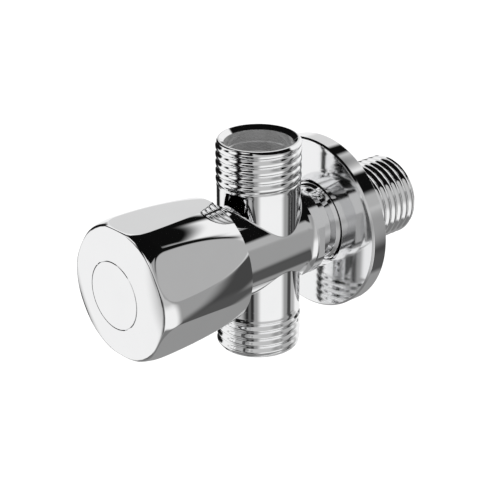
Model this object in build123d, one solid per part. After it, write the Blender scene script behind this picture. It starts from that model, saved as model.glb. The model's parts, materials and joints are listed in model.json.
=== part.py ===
from build123d import *
import math
import os

# Two-way shower valve: a turned and forged body with a male inlet that screws into the wall, a sliding
# wall flange, two male outlets one above the other, and a knob that turns a ceramic disc cartridge.
# The frame has +Z up. The main axis lies on Y, with the wall at y = 0 and the knob towards -Y.
# The outlets stand on +Z and -Z. Lengths are in millimetres.

# Threads: ring grooves between lands on the inlet, plain cylinders at the crest on the outlets
thread_radius = 20.955 / 2
thread_groove_depth = 1.0
thread_flank_angle = 27.5
shank_radius = 10.3
thread_end_rake = 1.3
thread_end_drop = 0.8
thread_pitch = 1.814
thread_groove_count = 10
last_groove_from_end = 2.2

# Inlet behind the wall plane
inlet_length = 24.4
inlet_bore_radius = 7.0
strainer_pocket_radius = 8.0
strainer_pocket_depth = 5.9
mouth_chamfer = 0.5

# Neck and collar between the flange and the barrel
neck_radius = 9.6
neck_length = 5.4
collar_radius = 11.75
collar_width = 3.05
collar_flare_radius = 6.0
spanner_flat_distance = 22.1
spanner_flat_width = 2.45

# Barrel and outlet tubes
barrel_radius = 11.35
outlet_from_wall = 22.1
outlet_reach = 27.3
outlet_thread_length = 9.7
outlet_rim_width = 0.12
outlet_mouth_chamfer = 1.1
outlet_mouth_depth = 3.0
outlet_step_depth = 2.4
outlet_step = 0.3
outlet_floor = 13.0
tube_fillet = 0.6

# Cartridge chamber in the barrel
barrel_front_from_wall = 44.6
chamber_radius = 8.6
chamber_seat_from_wall = 14.0
cartridge_thread_radius = 9.0
cartridge_thread_length = 8.6
seal_recess_radius = 10.1
seal_recess_depth = 1.6
body_port_radius = 3.6

# Wall flange
flange_radius = 22.35
flange_thickness = 4.5
flange_bevel = 0.45
flange_bore_clearance = 0.1
flange_countersink_radius = 11.65
flange_hub_radius = 13.2
flange_rim_wall = 1.55
flange_relief_depth = 2.0
wall_seal_width = 3.0
grip_ring_thickness = 1.2
grip_ring_from_wall = 1.9
grip_ring_squeeze_gap = 0.02

# Clearances
slip_clearance = 0.05
seat_clearance = 0.1
lap_clearance = 0.01
ring_clearance = 0.02
groove_clearance = 0.02

# How far a cut runs past the face it opens, and a rib into what it joins
past = 1.0

# Port carrier at the bottom of the chamber
carrier_length = 15.8
carrier_gasket_thickness = 1.2
carrier_gasket_width = 1.5
key_width = 2.0
key_depth = 1.2
centre_port_radius = 2.0
side_port_radius = 1.6
side_port_offset = 4.6
carrier_window_radius = 3.2
port_seal_width = 1.2
port_seal_depth = 1.6
peg_width = 1.9
peg_thickness = 0.8
peg_height = 2.4

# Ceramic discs and what turns them
disc_seal_thickness = 0.8
fixed_disc_radius = 7.0
fixed_disc_thickness = 2.8
moving_disc_radius = 6.7
moving_disc_thickness = 2.6
disc_pocket_depth = 1.3
driver_radius = 6.5
driver_thickness = 2.2
lug_width = 2.4
lug_height = 1.0
lug_inner_radius = 3.8
tongue_width = 2.5
tongue_reach = 5.5
tongue_depth = 1.8

# Cartridge housing
housing_skirt_wall = 1.3
hex_across_flats = 19.0
hex_height = 5.4
housing_nose_radius = 6.2
housing_nose_length = 5.5
housing_neck_radius = 8.7
stop_lug_wall = 1.0
stop_lug_angle = 100.0

# Spindle
spindle_radius = 4.0
spindle_head_radius = 5.6
spindle_head_thickness = 1.6
slip_washer_thickness = 0.6
slip_washer_radius = 6.6
ring_groove_radius = 2.93
spindle_ring_thickness = 1.1
rear_ring_from_shoulder = 3.7
front_ring_from_shoulder = 9.2
clip_thickness = 0.7
clip_groove_radius = 3.2
clip_radius = 5.0
clip_gap = 3.0
spline_root_radius = 3.45
spline_tip_radius = 3.8
spline_count = 20
stop_ring_thickness = 1.0
stop_ring_radius = 4.9
stop_tab_angle = 76.0
insert_length = 4.0
insert_radius = 5.5
screw_hole_depth = 9.0

# Knob
knob_length = 29.2
knob_front_from_wall = 67.45
knob_rear_radius = 15.65
knob_widest_radius = 17.25
knob_widest_from_front = 6.7
knob_edge_radius = 16.45
knob_edge_rounding = 0.5
knob_dome_radius = 70.0
knob_wall = 2.0
facet_count = 6
facet_distance = 16.17
facet_arc_radius = 400.0
facet_crest_from_front = 8.2
knob_rib_thickness = 1.4
knob_boss_wall = 2.2
cap_recess_radius = 8.45
cap_clearance = 0.1
cap_thickness = 1.45
cap_edge_chamfer = 0.12
cap_skirt_radius = 5.9
cap_skirt_wall = 1.0
cap_skirt_length = 2.2
cap_ring_thickness = 0.9
screw_recess_radius = 6.4
screw_web = 0.8

# Knob screw and its washer
screw_radius = 2.0
screw_length = 8.0
screw_head_radius = 3.5
screw_head_height = 1.7
screw_drive_width = 1.0
screw_drive_length = 4.4
screw_drive_depth = 1.0
washer_thickness = 0.8
washer_radius = 3.8
washer_split = 0.5

# Inlet strainer
strainer_thickness = 0.5
strainer_hole_radius = 0.55
strainer_hole_pitch = 1.6
strainer_rings = 3
strainer_ring_thickness = 2.0
strainer_ring_bore = 6.0

# Places along the main axis that several pieces share
outlet_y = -outlet_from_wall
barrel_front_y = -barrel_front_from_wall
chamber_seat_y = -chamber_seat_from_wall
flange_front_y = -flange_thickness
collar_rear_y = flange_front_y - neck_length
collar_front_y = collar_rear_y - collar_width
carrier_rear_y = chamber_seat_y - carrier_gasket_thickness
carrier_front_y = carrier_rear_y - carrier_length
fixed_disc_rear_y = carrier_front_y - disc_seal_thickness
lap_y = fixed_disc_rear_y - fixed_disc_thickness
moving_disc_rear_y = lap_y - lap_clearance
moving_disc_front_y = moving_disc_rear_y - moving_disc_thickness
driver_front_y = moving_disc_front_y - driver_thickness
spindle_head_front_y = driver_front_y - spindle_head_thickness
shoulder_y = spindle_head_front_y - slip_washer_thickness - lap_clearance
hex_rear_y = barrel_front_y
hex_front_y = hex_rear_y - hex_height
nose_front_y = hex_front_y - housing_nose_length
clip_front_y = nose_front_y - lap_clearance - clip_thickness
stop_ring_rear_y = clip_front_y - lap_clearance
stop_ring_front_y = stop_ring_rear_y - stop_ring_thickness
insert_rear_y = stop_ring_front_y - slip_clearance
insert_front_y = insert_rear_y - insert_length
spindle_front_y = insert_front_y + slip_clearance
web_rear_y = insert_front_y
web_front_y = web_rear_y - screw_web
knob_front_y = -knob_front_from_wall
knob_rear_y = knob_front_y + knob_length
cap_seat_y = knob_front_y + cap_thickness
knob_bore_radius = knob_rear_radius - knob_wall
strainer_floor_y = inlet_length - strainer_pocket_depth
flange_bore_radius = thread_radius + flange_bore_clearance
housing_bore_radius = spindle_radius + slip_clearance
carrier_radius = chamber_radius - seat_clearance
cap_radius = cap_recess_radius - cap_clearance
boss_radius = screw_recess_radius + knob_boss_wall


def turned(points, axis="Y"):
    """Solid of revolution from (radius, place) points, about Y or Z."""
    if axis == "Y":
        return revolve(make_face(Polyline(*points, close=True)), Axis.Y)
    outline = Plane.XZ * make_face(Polyline(*points, close=True))
    return revolve(outline, Axis.Z)


def disc(radius, y0, y1, x=0.0, z=0.0):
    """Round bar along Y between two places."""
    length = abs(y1 - y0)
    return Pos(x, (y0 + y1) / 2, z) * Rot(90, 0, 0) * Cylinder(radius, length)


def ring(outer, inner, y0, y1, x=0.0, z=0.0):
    """Flat ring along Y between two places."""
    return disc(outer, y0, y1, x, z) - disc(inner, y0 - past, y1 + past, x, z)


def upright(radius, z0, z1, y):
    """Round bar along Z between two heights, on the outlets' axis."""
    return Pos(0, y, (z0 + z1) / 2) * Cylinder(radius, abs(z1 - z0))


def block(x0, x1, y0, y1, z0, z1):
    """Rectangular block between two corners."""
    middle = Pos((x0 + x1) / 2, (y0 + y1) / 2, (z0 + z1) / 2)
    return middle * Box(abs(x1 - x0), abs(y1 - y0), abs(z1 - z0))


def rubber_ring(centre_radius, thickness, y):
    """Round-section ring about the main axis."""
    return Pos(0, y, 0) * Rot(90, 0, 0) * Torus(centre_radius, thickness / 2)


def sector(radius, angle, y0, y1):
    """Wedge about Y, as wide as angle, centred on +X."""
    half = math.radians(angle / 2)
    reach = 3 * radius
    far = (reach * math.cos(half), reach * math.sin(half))
    corners = [(0, 0), far, (far[0], -far[1])]
    if angle > 90:
        corners = [(0, 0), far, (reach, reach), (reach, -reach), (far[0], -far[1])]
    wedge = Rot(90, 0, 0) * extrude(make_face(Polyline(*corners, close=True)), abs(y1 - y0))
    wedge = Pos(0, max(y0, y1), 0) * wedge
    return wedge & disc(radius, y0, y1)


def inlet_grooves():
    """Section points of the inlet thread's ring grooves, from the wall plane outwards."""
    half = thread_groove_depth * math.tan(math.radians(thread_flank_angle))
    root = thread_radius - thread_groove_depth
    last = inlet_length - last_groove_from_end
    points = []
    for i in range(thread_groove_count):
        place = last - (thread_groove_count - 1 - i) * thread_pitch
        points += [(thread_radius, place - half), (root, place), (thread_radius, place + half)]
    return points


def body_outside():
    """Barrel, collar, neck and inlet shank as one turned shape."""
    rise = collar_radius - barrel_radius
    flare = math.sqrt(2 * collar_flare_radius * rise - rise ** 2)
    shank_step = shank_radius - neck_radius
    flare_start = (barrel_radius, collar_front_y - flare)
    flare_end = (collar_radius, collar_front_y)
    front = [(0, barrel_front_y), (barrel_radius, barrel_front_y), flare_start]
    back = [
        flare_end,
        (collar_radius, collar_rear_y),
        (neck_radius, collar_rear_y),
        (neck_radius, flange_front_y),
        (shank_radius, flange_front_y + shank_step),
        (shank_radius, 0),
        (thread_radius, 0),
        *inlet_grooves(),
        (thread_radius, inlet_length - thread_end_rake),
        (thread_radius - thread_end_drop, inlet_length),
        (0, inlet_length),
        (0, barrel_front_y),
    ]
    flare_line = RadiusArc(flare_start, flare_end, collar_flare_radius)
    outline = make_face(Polyline(*front) + flare_line + Polyline(*back))
    return revolve(outline, Axis.Y)


def outlet_outside():
    """One outlet tube with its thread crest and raked end, standing on +Z."""
    thread_start = outlet_reach - thread_end_rake - outlet_thread_length
    profile = [
        (0, 0),
        (shank_radius, 0),
        (shank_radius, thread_start),
        (thread_radius, thread_start),
        (thread_radius, outlet_reach - thread_end_rake),
        (thread_radius - thread_end_drop, outlet_reach),
        (0, outlet_reach),
    ]
    return Pos(0, outlet_y, 0) * turned(profile, "Z")


def outlet_bore():
    """Stepped bore of one outlet, with its mouth chamfer and the port into the chamber."""
    mouth = thread_radius - thread_end_drop - outlet_rim_width
    first = mouth - outlet_mouth_chamfer
    chamfer_z = outlet_reach - outlet_mouth_chamfer
    step_z = chamfer_z - outlet_mouth_depth
    deep_z = step_z - outlet_step_depth
    profile = [
        (0, outlet_floor),
        (first - 2 * outlet_step, outlet_floor),
        (first - 2 * outlet_step, deep_z),
        (first - outlet_step, deep_z),
        (first - outlet_step, step_z),
        (first, step_z),
        (first, chamfer_z),
        (mouth, outlet_reach),
        (mouth, outlet_reach + past),
        (0, outlet_reach + past),
    ]
    bore = Pos(0, outlet_y, 0) * turned(profile, "Z")
    return bore + upright(body_port_radius, 0, outlet_floor + past, outlet_y)


def body_inside():
    """Cartridge chamber, inlet bore and strainer pocket as one turned shape."""
    thread_end_y = barrel_front_y + cartridge_thread_length
    recess_y = barrel_front_y + seal_recess_depth
    profile = [
        (0, barrel_front_y - past),
        (seal_recess_radius, barrel_front_y - past),
        (seal_recess_radius, recess_y),
        (cartridge_thread_radius, recess_y),
        (cartridge_thread_radius, thread_end_y),
        (chamber_radius, thread_end_y),
        (chamber_radius, chamber_seat_y),
        (inlet_bore_radius, chamber_seat_y),
        (inlet_bore_radius, strainer_floor_y),
        (strainer_pocket_radius, strainer_floor_y),
        (strainer_pocket_radius, inlet_length - mouth_chamfer),
        (strainer_pocket_radius + mouth_chamfer, inlet_length),
        (strainer_pocket_radius + mouth_chamfer, inlet_length + past),
        (0, inlet_length + past),
    ]
    return turned(profile)


def valve_body():
    """One-piece body with both outlets, the inlet, the collar's flats and all bores."""
    trunk = body_outside()
    tubes = outlet_outside() + mirror(outlet_outside(), Plane.XY)
    joined = trunk + tubes
    seams = joined.edges().filter_by(GeomType.BSPLINE)
    joined = fillet(seams, tube_fillet)
    flat_x = spanner_flat_distance / 2
    flat_y = collar_rear_y - spanner_flat_width
    reach = collar_radius + past
    for side in (1, -1):
        joined -= block(side * flat_x, side * reach, flat_y, collar_rear_y, -reach, reach)
    half = key_width / 2 + seat_clearance
    slot = block(-half, half, chamber_seat_y - past, chamber_seat_y + key_depth + seat_clearance,
                 -chamber_radius, -inlet_bore_radius + past)
    joined -= body_inside() + slot
    joined -= outlet_bore() + mirror(outlet_bore(), Plane.XY)
    return joined


def wall_flange():
    """Thick round flange with a bevelled rim, a countersunk bore and a relieved back."""
    sink = flange_countersink_radius - flange_bore_radius
    ring_y = -grip_ring_from_wall
    half_groove = grip_ring_thickness / 2 + groove_clearance
    groove_radius = flange_bore_radius - grip_ring_inset() + grip_ring_thickness
    rim_inner = flange_radius - flange_rim_wall
    profile = [
        (flange_countersink_radius, flange_front_y),
        (flange_radius - flange_bevel, flange_front_y),
        (flange_radius, flange_front_y + flange_bevel),
        (flange_radius, 0),
        (rim_inner, 0),
        (rim_inner, -flange_relief_depth),
        (flange_hub_radius, -flange_relief_depth),
        (flange_hub_radius, 0),
        (flange_bore_radius, 0),
        (flange_bore_radius, ring_y + half_groove),
        (groove_radius, ring_y + half_groove),
        (groove_radius, ring_y - half_groove),
        (flange_bore_radius, ring_y - half_groove),
        (flange_bore_radius, flange_front_y + sink),
    ]
    return turned(profile)


def grip_ring_inset():
    """How far the grip ring stands proud of the flange's bore."""
    return flange_bore_clearance - grip_ring_squeeze_gap


def flange_grip_ring():
    """Rubber ring in the flange's bore that holds it where it is pushed."""
    inner = flange_bore_radius - grip_ring_inset()
    return rubber_ring(inner + grip_ring_thickness / 2, grip_ring_thickness, -grip_ring_from_wall)


def flange_wall_seal():
    """Flat foam ring in the flange's back that seals against the wall."""
    outer = flange_radius - flange_rim_wall - seat_clearance
    return ring(outer, outer - wall_seal_width, -flange_relief_depth, 0)


def carrier_ports():
    """Waterways through the carrier: one straight, two that turn out to the windows."""
    ways = disc(centre_port_radius, carrier_front_y - past, carrier_rear_y + past)
    for side in (1, -1):
        place = side * side_port_offset
        ways += disc(side_port_radius, carrier_front_y - past, outlet_y, 0, place)
        outer = side * (carrier_radius + past)
        ways += upright(carrier_window_radius, place, outer, outlet_y)
        floor = side * (carrier_radius - port_seal_depth)
        pocket = carrier_window_radius + port_seal_width + groove_clearance
        ways += upright(pocket, floor, outer, outlet_y)
    return ways


def fixed_pegs(clearance):
    """Pegs on the carrier, or their notches, that stop the fixed disc from turning."""
    half = peg_width / 2 + clearance
    tip = carrier_front_y - disc_seal_thickness - peg_height - clearance
    inner = fixed_disc_radius - peg_thickness - clearance
    pegs = block(inner, fixed_disc_radius + clearance, tip, carrier_front_y, -half, half)
    return pegs + mirror(pegs, Plane.YZ)


def port_carrier():
    """Moulded carrier that takes water from the discs to the two windows."""
    core = disc(carrier_radius, carrier_front_y, carrier_rear_y) - carrier_ports()
    key = block(-key_width / 2, key_width / 2, carrier_rear_y, chamber_seat_y + key_depth,
                -carrier_radius + seat_clearance, -inlet_bore_radius)
    return core + key + fixed_pegs(0)


def carrier_gasket():
    """Flat gasket between the carrier and the seat, notched for the carrier's key."""
    outer = carrier_radius
    flat = ring(outer, outer - carrier_gasket_width, carrier_rear_y, chamber_seat_y)
    half = key_width / 2 + seat_clearance
    return flat - block(-half, half, carrier_rear_y - past, chamber_seat_y + past, -chamber_radius, 0)


def port_seal(side):
    """Saddle ring between one carrier window and the chamber wall."""
    floor = side * (carrier_radius - port_seal_depth)
    top = side * (chamber_radius + past)
    outer = upright(carrier_window_radius + port_seal_width, floor, top, outlet_y)
    inner = upright(carrier_window_radius, 0, 2 * top, outlet_y)
    chamber = disc(chamber_radius, carrier_front_y, carrier_rear_y)
    return (outer - inner) & chamber


def port_holes(y0, y1):
    """The three round waterways that the seal and the fixed disc share."""
    holes = disc(centre_port_radius, y0, y1)
    for side in (1, -1):
        holes += disc(side_port_radius, y0, y1, 0, side * side_port_offset)
    return holes


def disc_seal():
    """Rubber sheet between the carrier and the fixed disc."""
    sheet = disc(fixed_disc_radius, fixed_disc_rear_y, carrier_front_y)
    sheet -= port_holes(fixed_disc_rear_y - past, carrier_front_y + past)
    return sheet - fixed_pegs(seat_clearance)


def fixed_disc():
    """Ceramic disc with the centre inlet and two outlet ports."""
    plate = disc(fixed_disc_radius, lap_y, fixed_disc_rear_y)
    plate -= port_holes(lap_y - past, fixed_disc_rear_y + past)
    return plate - fixed_pegs(seat_clearance)


def driver_lugs(clearance, height):
    """Two lugs, or their notches, between the driver and the moving disc."""
    half = lug_width / 2 + clearance
    y0 = moving_disc_front_y
    reach = moving_disc_radius + past
    lugs = block(-half, half, y0, y0 + height, lug_inner_radius - clearance, reach)
    return lugs + mirror(lugs, Plane.XY)


def moving_disc():
    """Ceramic disc whose pocket joins the centre port to one outlet port."""
    plate = disc(moving_disc_radius, moving_disc_front_y, moving_disc_rear_y)
    floor_y = moving_disc_rear_y - disc_pocket_depth
    open_y = moving_disc_rear_y + past
    pocket = disc(side_port_radius, floor_y, open_y)
    pocket += disc(side_port_radius, floor_y, open_y, side_port_offset)
    pocket += block(0, side_port_offset, floor_y, open_y, -side_port_radius, side_port_radius)
    notch = driver_lugs(slip_clearance, lug_height + slip_clearance)
    return plate - pocket - notch


def spindle_tongue(clearance):
    """Tongue at the spindle's inner end, or the driver's slot for it."""
    half = tongue_width / 2 + clearance
    reach = tongue_reach + clearance
    return block(-reach, reach, driver_front_y, driver_front_y + tongue_depth + clearance, -half, half)


def disc_driver():
    """Moulded driver between the spindle's tongue and the moving disc."""
    plate = disc(driver_radius, driver_front_y, moving_disc_front_y) - spindle_tongue(slip_clearance)
    return plate + (driver_lugs(0, lug_height) & disc(driver_radius, barrel_front_y, 0))


def housing_hex():
    """Hexagon by which the cartridge is screwed in."""
    flats = RegularPolygon(hex_across_flats / 2, 6, major_radius=False)
    return Pos(0, hex_rear_y, 0) * Rot(90, 0, 0) * extrude(flats, hex_height)


def cartridge_housing():
    """Turned brass housing: threaded skirt round the discs, hexagon and spindle nose."""
    skirt_outer = carrier_radius
    thread_end_y = barrel_front_y + cartridge_thread_length
    recess_y = barrel_front_y + seal_recess_depth
    thread_outer = cartridge_thread_radius - slip_clearance
    cavity = skirt_outer - housing_skirt_wall
    outside = [
        (0, nose_front_y),
        (housing_nose_radius, nose_front_y),
        (housing_nose_radius, hex_front_y),
        (housing_neck_radius, hex_front_y),
        (housing_neck_radius, recess_y + seat_clearance),
        (thread_outer, recess_y + seat_clearance),
        (thread_outer, thread_end_y - seat_clearance),
        (skirt_outer, thread_end_y - seat_clearance),
        (skirt_outer, carrier_front_y),
        (0, carrier_front_y),
    ]
    shell = turned(outside) + housing_hex()
    shell -= disc(cavity, shoulder_y, carrier_front_y + past)
    lug = sector(housing_nose_radius, stop_lug_angle, stop_ring_front_y, nose_front_y)
    lug -= disc(housing_nose_radius - stop_lug_wall, stop_ring_front_y - past, nose_front_y)
    bore = disc(housing_bore_radius, nose_front_y - past, shoulder_y + past)
    return shell - bore + Rot(0, 180, 0) * lug


def housing_seal():
    """Rubber ring between the housing and the barrel's mouth."""
    room = seal_recess_radius - housing_neck_radius - 2 * groove_clearance
    centre = (seal_recess_radius + housing_neck_radius) / 2
    return rubber_ring(centre, room, hex_rear_y + room / 2 + groove_clearance)


def ring_groove_y(from_shoulder):
    """Place of a spindle ring's groove."""
    return shoulder_y - from_shoulder


def spline_bar(root, tip, y0, y1):
    """Round bar with even square splines, along Y."""
    width = math.pi * root / spline_count
    tooth = block(0, tip, y0, y1, -width / 2, width / 2)
    teeth = [Rot(0, 360 * i / spline_count, 0) * tooth for i in range(spline_count)]
    return (disc(root, y0, y1) + teeth) & disc(tip, y0, y1)


def spline_hole(y0, y1):
    """Splined hole that slips over the spindle's end."""
    root = spline_root_radius + ring_clearance
    tip = spline_tip_radius + ring_clearance
    return spline_bar(root, tip, y0 - past, y1 + past)


def spindle():
    """Brass spindle: tongue, head, two ring grooves, clip groove and splined end."""
    neck_front = stop_ring_rear_y
    bar = disc(spindle_radius, neck_front, spindle_head_front_y)
    bar += disc(spindle_head_radius, spindle_head_front_y, driver_front_y)
    bar += spindle_tongue(0)
    bar += spline_bar(spline_root_radius, spline_tip_radius, spindle_front_y, neck_front)
    half = spindle_ring_thickness / 2 + groove_clearance
    for place in (rear_ring_from_shoulder, front_ring_from_shoulder):
        y = ring_groove_y(place)
        bar -= ring(spindle_radius + past, ring_groove_radius, y - half, y + half)
    bar -= ring(spindle_radius + past, clip_groove_radius, clip_front_y, clip_front_y + clip_thickness)
    hole_end_y = spindle_front_y + screw_hole_depth
    return bar - disc(screw_radius + ring_clearance, spindle_front_y - past, hole_end_y)


def spindle_seal(from_shoulder):
    """Rubber ring in one spindle groove."""
    centre = ring_groove_radius + spindle_ring_thickness / 2
    return rubber_ring(centre, spindle_ring_thickness, ring_groove_y(from_shoulder))


def slip_washer():
    """Plastic washer between the spindle's head and the housing's shoulder."""
    y0 = spindle_head_front_y - slip_washer_thickness
    return ring(slip_washer_radius, spindle_radius + seat_clearance, y0, spindle_head_front_y)


def spindle_clip():
    """Split spring clip that keeps the spindle in its housing."""
    y0 = clip_front_y
    y1 = y0 + clip_thickness
    band = ring(clip_radius, clip_groove_radius, y0, y1)
    return band - block(-clip_gap / 2, clip_gap / 2, y0 - past, y1 + past, 0, clip_radius + past)


def stop_ring():
    """Splined ring whose tab meets the housing's lug at each end of the turn."""
    y0 = stop_ring_front_y
    y1 = stop_ring_rear_y
    tab_radius = housing_nose_radius - slip_clearance
    plate = disc(stop_ring_radius, y0, y1) + sector(tab_radius, stop_tab_angle, y0, y1)
    return plate - spline_hole(y0, y1)


def spline_insert():
    """Brass insert in the knob that takes the splined spindle."""
    return disc(insert_radius, insert_front_y, insert_rear_y) - spline_hole(insert_front_y, insert_rear_y)


def dome_y(radius):
    """Place of the domed face at a distance from the axis."""
    return knob_front_y + knob_dome_radius - math.sqrt(knob_dome_radius ** 2 - radius ** 2)


def knob_blank():
    """Outside of the knob before its facets: domed face and barrel-shaped side."""
    widest = (knob_widest_radius, knob_front_y + knob_widest_from_front)
    rear = (knob_rear_radius, knob_rear_y)
    edge = (knob_edge_radius, dome_y(knob_edge_radius))
    front_run = widest[1] - edge[1]
    front_rise = widest[0] - edge[0]
    front_arc = (front_run ** 2 + front_rise ** 2) / (2 * front_rise)
    rear_run = rear[1] - widest[1]
    rear_rise = widest[0] - rear[0]
    rear_arc = (rear_run ** 2 + rear_rise ** 2) / (2 * rear_rise)
    lines = Line((0, knob_front_y), (0, rear[1]))
    lines += Line((0, rear[1]), rear)
    lines += RadiusArc(rear, widest, rear_arc)
    lines += RadiusArc(widest, edge, front_arc)
    lines += RadiusArc(edge, (0, knob_front_y), knob_dome_radius)
    return revolve(make_face(lines), Axis.Y)


def facet_cutter():
    """What one facet takes away: all beyond a long shallow arc above the axis."""
    crest_y = knob_front_y + facet_crest_from_front
    front_y = knob_front_y - past
    rear_y = knob_rear_y + past

    def height(y):
        return facet_distance - (y - crest_y) ** 2 / (2 * facet_arc_radius)

    top = knob_widest_radius + past
    lines = ThreePointArc((front_y, height(front_y)), (crest_y, facet_distance), (rear_y, height(rear_y)))
    lines += Polyline((rear_y, height(rear_y)), (rear_y, top), (front_y, top), (front_y, height(front_y)))
    return extrude(Plane.YZ * make_face(lines), knob_widest_radius, both=True)


def knob_inside():
    """Hollow of the knob round its boss, from the rear."""
    return ring(knob_bore_radius, boss_radius, web_front_y, knob_rear_y + past)


def knob_boss_inside():
    """Space round the cartridge's nose, the insert's socket and the screw's recess."""
    space = disc(insert_radius, web_rear_y, insert_rear_y)
    space += disc(boss_radius + past, insert_rear_y, knob_rear_y + past)
    space += disc(screw_radius + seat_clearance, web_front_y - past, web_rear_y + past)
    space += disc(screw_recess_radius, cap_seat_y, web_front_y)
    space += disc(cap_recess_radius, knob_front_y - past, cap_seat_y)
    return space


def knob_ribs():
    """Radial ribs between the boss and the knob's wall, one under each ridge."""
    half = knob_rib_thickness / 2
    rib = block(boss_radius - past, knob_bore_radius + past, web_front_y, insert_rear_y, -half, half)
    step = 360 / facet_count
    return [Rot(0, step * i, 0) * rib for i in range(facet_count)]


def knob_shell():
    """Hollow cast knob with six facets."""
    blank = knob_blank()
    step = 360 / facet_count
    for i in range(facet_count):
        blank -= Rot(0, step * i, 0) * facet_cutter()
    dome = blank.faces().sort_by(Axis.Y)[0]
    rim = [edge for edge in dome.edges() if math.hypot(edge.center().X, edge.center().Z) > cap_recess_radius]
    blank = fillet(rim, knob_edge_rounding)
    hollow = blank - knob_inside() - knob_boss_inside()
    return hollow + knob_ribs()


def index_cap():
    """Round cap in the knob's face, with a skirt that snaps into the screw's recess."""
    face_radius = cap_radius - cap_edge_chamfer
    rim_y = dome_y(face_radius)
    back_y = cap_seat_y
    ring_y = back_y + cap_skirt_length / 2
    groove = cap_skirt_radius - cap_ring_thickness / 2
    half = cap_ring_thickness / 2
    tip_y = back_y + cap_skirt_length
    lines = Line((0, knob_front_y), (0, back_y))
    lines += Polyline(
        (0, back_y),
        (cap_skirt_radius - cap_skirt_wall, back_y),
        (cap_skirt_radius - cap_skirt_wall, tip_y),
        (cap_skirt_radius, tip_y),
        (cap_skirt_radius, ring_y + half),
        (groove, ring_y + half),
        (groove, ring_y - half),
        (cap_skirt_radius, ring_y - half),
        (cap_skirt_radius, back_y),
        (cap_radius, back_y),
        (cap_radius, rim_y + cap_edge_chamfer),
        (face_radius, rim_y),
    )
    lines += RadiusArc((face_radius, rim_y), (0, knob_front_y), knob_dome_radius)
    return revolve(make_face(lines), Axis.Y)


def cap_ring():
    """Rubber ring on the cap's skirt that holds it in the knob."""
    return rubber_ring(cap_skirt_radius, cap_ring_thickness, cap_seat_y + cap_skirt_length / 2)


def screw_washer():
    """Split spring washer under the knob screw's head."""
    y1 = web_front_y
    y0 = y1 - washer_thickness
    band = ring(washer_radius, screw_radius + seat_clearance, y0, y1)
    half = washer_split / 2
    return band - block(-half, half, y0 - past, y1 + past, -washer_radius - past, 0)


def knob_screw():
    """Cross-slotted screw that holds the knob on the spindle."""
    seat_y = web_front_y - washer_thickness
    head = disc(screw_head_radius, seat_y - screw_head_height, seat_y)
    top_y = seat_y - screw_head_height
    for turn in (0, 90):
        slot = block(-screw_drive_length / 2, screw_drive_length / 2, top_y - past,
                     top_y + screw_drive_depth, -screw_drive_width / 2, screw_drive_width / 2)
        head -= Rot(0, turn, 0) * slot
    return head + disc(screw_radius, seat_y, seat_y + screw_length)


def strainer_places():
    """Centres of the strainer's holes: one in the middle and rings of six, twelve and eighteen."""
    places = [(0.0, 0.0)]
    for number in range(1, strainer_rings + 1):
        count = 6 * number
        radius = number * strainer_hole_pitch
        for i in range(count):
            turn = 2 * math.pi * i / count
            places.append((radius * math.cos(turn), radius * math.sin(turn)))
    return places


def inlet_strainer():
    """Perforated steel disc across the inlet."""
    y0 = strainer_floor_y
    y1 = y0 + strainer_thickness
    plate = disc(strainer_pocket_radius - seat_clearance, y0, y1)
    holes = [disc(strainer_hole_radius, y0 - past, y1 + past, x, z) for x, z in strainer_places()]
    return plate - holes


def strainer_ring():
    """Rubber ring that holds the strainer in its pocket."""
    y0 = strainer_floor_y + strainer_thickness
    outer = strainer_pocket_radius - ring_clearance
    return ring(outer, strainer_ring_bore, y0, y0 + strainer_ring_thickness)


pieces = {
    "valve_body": valve_body,
    "wall_flange": wall_flange,
    "flange_grip_ring": flange_grip_ring,
    "flange_wall_seal": flange_wall_seal,
    "port_carrier": port_carrier,
    "carrier_gasket": carrier_gasket,
    "upper_port_seal": lambda: port_seal(1),
    "lower_port_seal": lambda: port_seal(-1),
    "disc_seal": disc_seal,
    "fixed_disc": fixed_disc,
    "moving_disc": moving_disc,
    "disc_driver": disc_driver,
    "cartridge_housing": cartridge_housing,
    "housing_seal": housing_seal,
    "spindle": spindle,
    "spindle_seal_rear": lambda: spindle_seal(rear_ring_from_shoulder),
    "spindle_seal_front": lambda: spindle_seal(front_ring_from_shoulder),
    "slip_washer": slip_washer,
    "spindle_clip": spindle_clip,
    "stop_ring": stop_ring,
    "spline_insert": spline_insert,
    "knob_shell": knob_shell,
    "index_cap": index_cap,
    "cap_ring": cap_ring,
    "screw_washer": screw_washer,
    "knob_screw": knob_screw,
    "inlet_strainer": inlet_strainer,
    "strainer_ring": strainer_ring,
}

os.makedirs("parts", exist_ok=True)
for node, make in pieces.items():
    export_step(Part() + make(), f"parts/{node}.step")
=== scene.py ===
"""Looks of a two-way shower valve: chromed body, sliding wall flange and faceted knob.

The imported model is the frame. The chromed pieces that show are drawn again as fine grids with exact
normals and true helical threads, and stand for their nodes. The other nodes keep their shape and get
their own finishes. Lengths in the classes are in millimetres. The main axis is Y, with the wall at y = 0
and the knob towards -Y.
"""
import json
import logging
import math
from dataclasses import dataclass, field, replace
from enum import Enum

import bmesh
import bpy
import numpy as np
from mathutils import Matrix, Vector


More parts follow.
